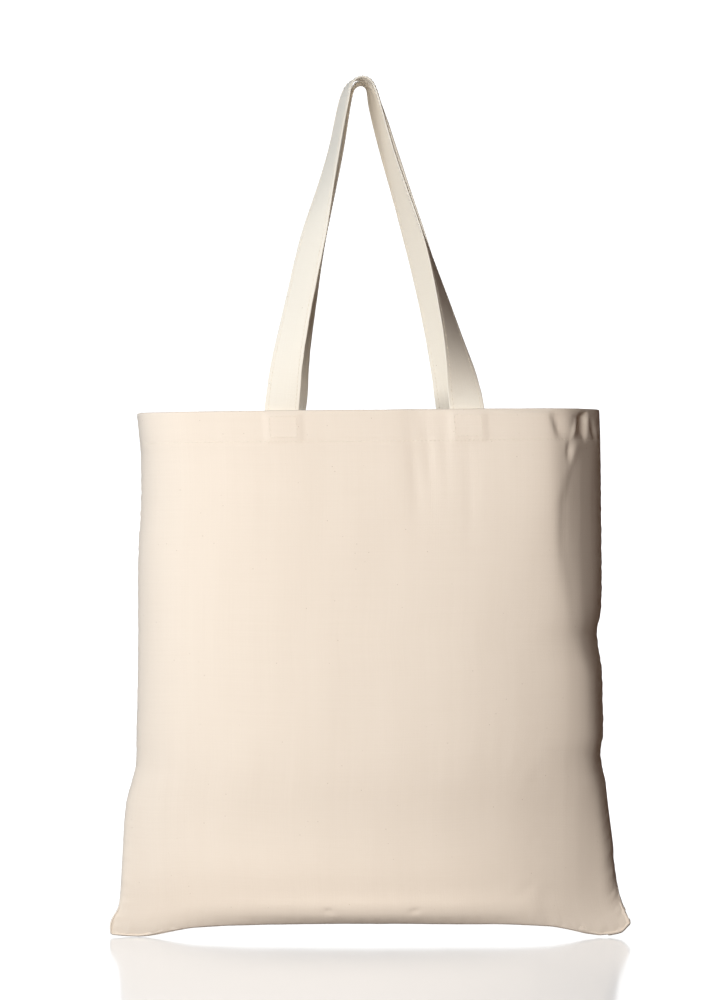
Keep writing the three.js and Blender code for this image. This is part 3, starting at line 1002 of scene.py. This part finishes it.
def make_handle(node, name, map_shift):
    """Sweeps the outline along the stations with one extrusion for each step."""
    stations = strap_stations(node)
    outline = strap_outline()
    bm = bmesh.new()
    flat = bm.verts.layers.float_vector.new("flat")
    ring = bmesh.ops.create_circle(bm, cap_ends=False, radius=1.0, segments=STRAP_OUTLINE)["verts"]
    ring.sort(key=lambda v: math.atan2(v.co.y, v.co.x) % (2 * math.pi))
    edges = bm.edges[:]
    last = len(stations["at"]) - 1
    for i, along in enumerate(stations["at"]):
        if i:
            edges, pairs = extruded(bm, edges)
            follow = {source: vert for vert, source in pairs}
            ring = [follow[vert] for vert in ring]
        for vert, (across, thick) in zip(ring, outline):
            spot = Vector((along * WOBBLES_A_METRE, math.copysign(3.0, across), map_shift))
            wobble = WOBBLE * noise.noise(spot)
            place = stations["centre"][i] + stations["width"][i] * (across + wobble)
            vert.co = place + stations["out"][i] * thick
            vert[flat] = (across, along, 0.0)
        if i in (0, last):
            bmesh.ops.contextual_create(bm, geom=edges)
    bmesh.ops.recalc_face_normals(bm, faces=bm.faces[:])
    mesh = smoothed_mesh(bm, name, map_shift)
    handle = finish_piece(name, mesh, strap_calico, [node])
    print(name, round(float(stations["at"][-1]), 4), "m long,", len(mesh.vertices), "vertices")
    return handle, stations


handles = {}
handles[FRONT] = make_handle("front_handle", "front_strap", STRAP_MAP_SHIFTS[FRONT])
handles[BACK] = make_handle("back_handle", "back_strap", STRAP_MAP_SHIFTS[BACK])

# %% [markdown]
# ## Thread
# The stitches are small, but they are what shows that a bag is sewn. One stitch is a small sphere drawn
# out along the seam and half sunk in the cloth, with few faces because there are many of them. Each line
# of stitches follows places on the flat cloth, so it sits on the surface wherever the cloth went.

# %% Find a flat place on a finished panel
STITCH_LENGTH = 0.0024
STITCH_PITCH = 0.0031
THREAD = 0.00036
THREAD_SPREAD = 1.25
THREAD_STANDS = 0.12


class FlatGuide:
    """Finds the point and the outward direction of the cloth at a flat place."""

    def __init__(self, mesh):
        self.places = vertex_array(mesh, "co")
        self.normals = vertex_array(mesh, "normal")
        self.flat = flat_array(mesh)
        self.faces = [tuple(face.vertices) for face in mesh.polygons]
        self.tree = BVHTree.FromPolygons((self.flat * (1, 1, 0)).tolist(), self.faces)

    def find(self, across, down):
        spot = Vector((across, down, 0.0))
        hit, _, face, _ = self.tree.find_nearest(spot)
        corners = self.faces[face]
        shares = np.array(poly_3d_calc([Vector((*self.flat[c][:2], 0.0)) for c in corners], hit))
        normal = shares @ self.normals[list(corners)]
        return shares @ self.places[list(corners)], normal / np.linalg.norm(normal)


def stitch_stamp():
    """One stitch along X, half above the cloth."""
    bm = bmesh.new()
    bmesh.ops.create_uvsphere(bm, u_segments=6, v_segments=5, radius=0.5)
    bmesh.ops.rotate(bm, verts=bm.verts[:], matrix=Matrix.Rotation(math.pi / 2, 3, "Y"))
    bmesh.ops.scale(bm, verts=bm.verts[:], vec=(STITCH_LENGTH, THREAD * THREAD_SPREAD, THREAD))
    mesh = bpy.data.meshes.new("stitch")
    bm.to_mesh(mesh)
    bm.free()
    return mesh


stamp = stitch_stamp()


def add_stitches(bm, points, normals):
    """Stitches at an even pitch along a line of points on the cloth."""
    points = np.array(points)
    normals = np.array(normals)
    run = np.concatenate([[0.0], np.cumsum(np.linalg.norm(np.diff(points, axis=0), axis=1))])
    count = max(int(run[-1] / STITCH_PITCH), 1)
    pitch = run[-1] / count
    reach = STITCH_LENGTH / 2
    for i in range(count):
        middle = (i + 0.5) * pitch
        places = (middle - reach, middle, middle + reach)
        start, centre, end = [Vector([np.interp(at, run, points[:, k]) for k in range(3)]) for at in places]
        out = Vector([np.interp(middle, run, normals[:, k]) for k in range(3)]).normalized()
        along = (end - start).normalized()
        side = out.cross(along).normalized()
        turn = Matrix((along, side, along.cross(side))).transposed().to_4x4()
        place = Matrix.Translation(centre + out * THREAD * THREAD_STANDS) @ turn
        first = len(bm.verts)
        bm.from_mesh(stamp)
        bm.verts.ensure_lookup_table()
        bmesh.ops.transform(bm, matrix=place, verts=bm.verts[first:])
    return count


def make_thread(name, lines):
    """One piece of all the stitches along some lines. Each line is its points and its outward directions."""
    bm = bmesh.new()
    count = sum(add_stitches(bm, points, normals) for points, normals in lines)
    uv = bm.loops.layers.uv.new("flat")
    for face in bm.faces:
        for loop in face.loops:
            loop[uv].uv = (loop.vert.co.x, loop.vert.co.z)
    mesh = bpy.data.meshes.new(name)
    bm.to_mesh(mesh)
    bm.free()
    mesh.shade_smooth()
    finish_piece(name, mesh, thread_cotton)
    print(name, count, "stitches")


# %% Stitch the hem and the strap ends
guides = {face: FlatGuide(panel.data) for face, panel in panels.items()}
SAMPLE_STEP = 0.002
LINE_END = 0.001
BOX_TOP = 0.0035
BOX_BOTTOM = STRAP_SEWN - 0.003


def flat_line(guide, start, end):
    """A straight line on the flat cloth, followed on the hanging cloth."""
    count = max(round(math.dist(start, end) / SAMPLE_STEP), 2)
    found = [guide.find(*(np.array(start) + (np.array(end) - start) * i / count)) for i in range(count + 1)]
    return [point for point, _ in found], [normal for _, normal in found]


def strap_box(middle):
    """The sides of the stitched box that holds a strap end, on the flat cloth."""
    left = middle - STRAP_WIDTH / 2 + STRAP_EDGE_LINE
    right = middle + STRAP_WIDTH / 2 - STRAP_EDGE_LINE
    corners = [(left, BOX_TOP), (right, BOX_TOP), (right, BOX_BOTTOM), (left, BOX_BOTTOM)]
    return [(corners[k], corners[(k + 1) % 4]) for k in range(4)]


hem_guide = FlatGuide(hem_mesh)
hem_lines = [flat_line(hem_guide, (LINE_END, STITCH_LINE), (2 * FLAT_WIDTH - LINE_END, STITCH_LINE))]
box_lines = []
for face, guide in guides.items():
    hem_lines.append(flat_line(guide, (LINE_END, STITCH_LINE), (FLAT_WIDTH - LINE_END, STITCH_LINE)))
    for middle in strap_ends(face):
        box_lines += [flat_line(guide, start, end) for start, end in strap_box(middle)]
make_thread("hem_thread", hem_lines)
make_thread("strap_end_thread", box_lines)

# %% Stitch both edges of the handles, and across their sewn ends
STRAP_END_LINES = (0.003, 0.019)
STITCH_HEIGHT = STRAP_THICKNESS / 2 * 0.80
stitch_reach = STRAP_WIDTH / 2 - STRAP_EDGE_LINE
ACROSS = np.linspace(-stitch_reach, stitch_reach, 5)


def strap_lines(stations):
    """Lines along both edges of a strap, on both of its faces."""
    lines = []
    for across in (-stitch_reach, stitch_reach):
        for side in (-1, 1):
            points = stations["centre"] + stations["width"] * across + stations["out"] * side * STITCH_HEIGHT
            lines.append((points, stations["out"] * side))
    return lines


def end_lines(stations, face):
    """Lines across both sewn ends of a strap, on the face that looks into the bag."""
    length = stations["at"][-1]
    lines = []
    for distance in STRAP_END_LINES:
        for at in (distance, length - distance):
            i = int(np.argmin(np.abs(stations["at"] - at)))
            out = stations["out"][i] * math.copysign(1.0, -face * stations["out"][i][1])
            middle = stations["centre"][i] + out * STITCH_HEIGHT
            points = [middle + stations["width"][i] * reach for reach in ACROSS]
            lines.append((points, [out] * len(points)))
    return lines


for face, name in ((FRONT, "front_strap_thread"), (BACK, "back_strap_thread")):
    stations = handles[face][1]
    make_thread(name, strap_lines(stations) + end_lines(stations, face))

# %% [markdown]
# ## The cut cloth
# The panels are cut a little larger than they look, because of the seam allowances.

# %% [markdown]
# ## Floor, light and camera
# The bag hangs with its lower corners just on a white, slightly glossy floor, which gives a faint
# reflection. A low key light stands near the bag, to the left of the camera, and a cool one far to the
# left, so the right side of the bag falls into shade. A small light below stands for what the floor throws
# back, and a soft one behind shows the back. The surroundings are white where they are seen or reflected,
# and dim and warm as a source of light, as in a studio with dark curtains.

# %% Floor
FLOOR_SIZE = 400.0
FLOOR_DROP = 0.0002
floor_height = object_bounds()[0].z - FLOOR_DROP
FLOOR_GLOW = 0.45


def make_floor():
    bm = bmesh.new()
    bmesh.ops.create_grid(bm, x_segments=2, y_segments=2, size=FLOOR_SIZE / 2)
    bmesh.ops.translate(bm, verts=bm.verts[:], vec=(0.0, 0.0, floor_height))
    mesh = bpy.data.meshes.new("studio_floor")
    bm.to_mesh(mesh)
    bm.free()
    floor = bpy.data.objects.new("studio_floor", mesh)
    scene.collection.objects.link(floor)
    material = bpy.data.materials.new("white_floor")
    material.use_nodes = True
    shader = material.node_tree.nodes["Principled BSDF"]
    shader.inputs["Base Color"].default_value = (0.30, 0.30, 0.30, 1.0)
    shader.inputs["Roughness"].default_value = 0.14
    shader.inputs["IOR"].default_value = 1.45
    shader.inputs["Emission Color"].default_value = (1.0, 1.0, 1.0, 1.0)
    shader.inputs["Emission Strength"].default_value = FLOOR_GLOW
    mesh.materials.append(material)
    floor.visible_diffuse = False


make_floor()
print("The floor lies at", round(floor_height, 4), "m")

# %% Light
WORLD_SEEN = 1.25
WORLD_LIGHT = 0.05
WARM = (1.0, 0.47, 0.22)
COOL = (0.60, 0.80, 1.0)
WHITE = (1.0, 1.0, 1.0, 1.0)


def make_world():
    """White where the camera or a reflection sees it, and dim as a source of light."""
    world = bpy.data.worlds.new("studio")
    scene.world = world
    world.use_nodes = True
    tree = world.node_tree
    tree.nodes.clear()
    path = add_node(tree, "ShaderNodeLightPath")
    seen = add_math(tree, "MAXIMUM", path.outputs["Is Camera Ray"], path.outputs["Is Glossy Ray"])
    strength = add_node(
        tree, "ShaderNodeMapRange", {"Value": seen, "To Min": WORLD_LIGHT, "To Max": WORLD_SEEN},
    )
    tint = add_node(tree, "ShaderNodeMix", {"Factor": seen, 6: (*WARM, 1.0), 7: WHITE}, data_type="RGBA")
    glow = add_node(tree, "ShaderNodeBackground", {"Color": tint.outputs[2], "Strength": strength.outputs[0]})
    add_node(tree, "ShaderNodeOutputWorld", {"Surface": glow.outputs[0]})


def add_light(name, place, target, size, watts, colour=(1.0, 1.0, 1.0)):
    """A soft rectangular light that looks at a point."""
    lamp = bpy.data.lights.new(name, "AREA")
    lamp.shape = "RECTANGLE"
    lamp.size, lamp.size_y = size
    lamp.energy = watts
    lamp.color = colour
    light = bpy.data.objects.new(name, lamp)
    scene.collection.objects.link(light)
    light.location = place
    light.rotation_mode = "QUATERNION"
    light.rotation_quaternion = (Vector(target) - Vector(place)).to_track_quat("-Z", "Y")
    light.visible_glossy = False
    light.visible_camera = False
    return light


make_world()
BAG_MIDDLE = (MIDDLE, 0.0, -0.42)
ON_FLOOR = (-0.01, -0.055, floor_height + 0.003)
UPWARD = (-0.01, -0.055, 1.0)
add_light("key", (-0.42, -1.31, -0.18), BAG_MIDDLE, (0.8, 0.7), 19.6)
add_light("side", (-2.25, -0.82, 0.70), BAG_MIDDLE, (1.1, 1.1), 22.0, COOL)
add_light("under_bounce", ON_FLOOR, UPWARD, (0.30, 0.07), 0.05)
add_light("back_fill", (0.10, 1.50, -0.20), BAG_MIDDLE, (0.9, 0.7), 18.0)
scene.view_settings.view_transform = "Standard"

# %% Camera
IMAGE_HEIGHT = 1000
CAMERA_DISTANCE = 2.3
METRES_A_PIXEL = 0.0007315
SENSOR = 36.0
CAMERA_X = -0.003
CAMERA_Z = -0.306

camera = bpy.data.objects.new("camera", bpy.data.cameras.new("camera"))
scene.collection.objects.link(camera)
camera.location = (CAMERA_X, -CAMERA_DISTANCE, CAMERA_Z)
camera.rotation_euler = (math.pi / 2, 0.0, 0.0)
camera.data.sensor_width = SENSOR
camera.data.lens = SENSOR * CAMERA_DISTANCE / (IMAGE_HEIGHT * METRES_A_PIXEL)
scene.camera = camera
print("Lens:", round(camera.data.lens, 1), "mm")
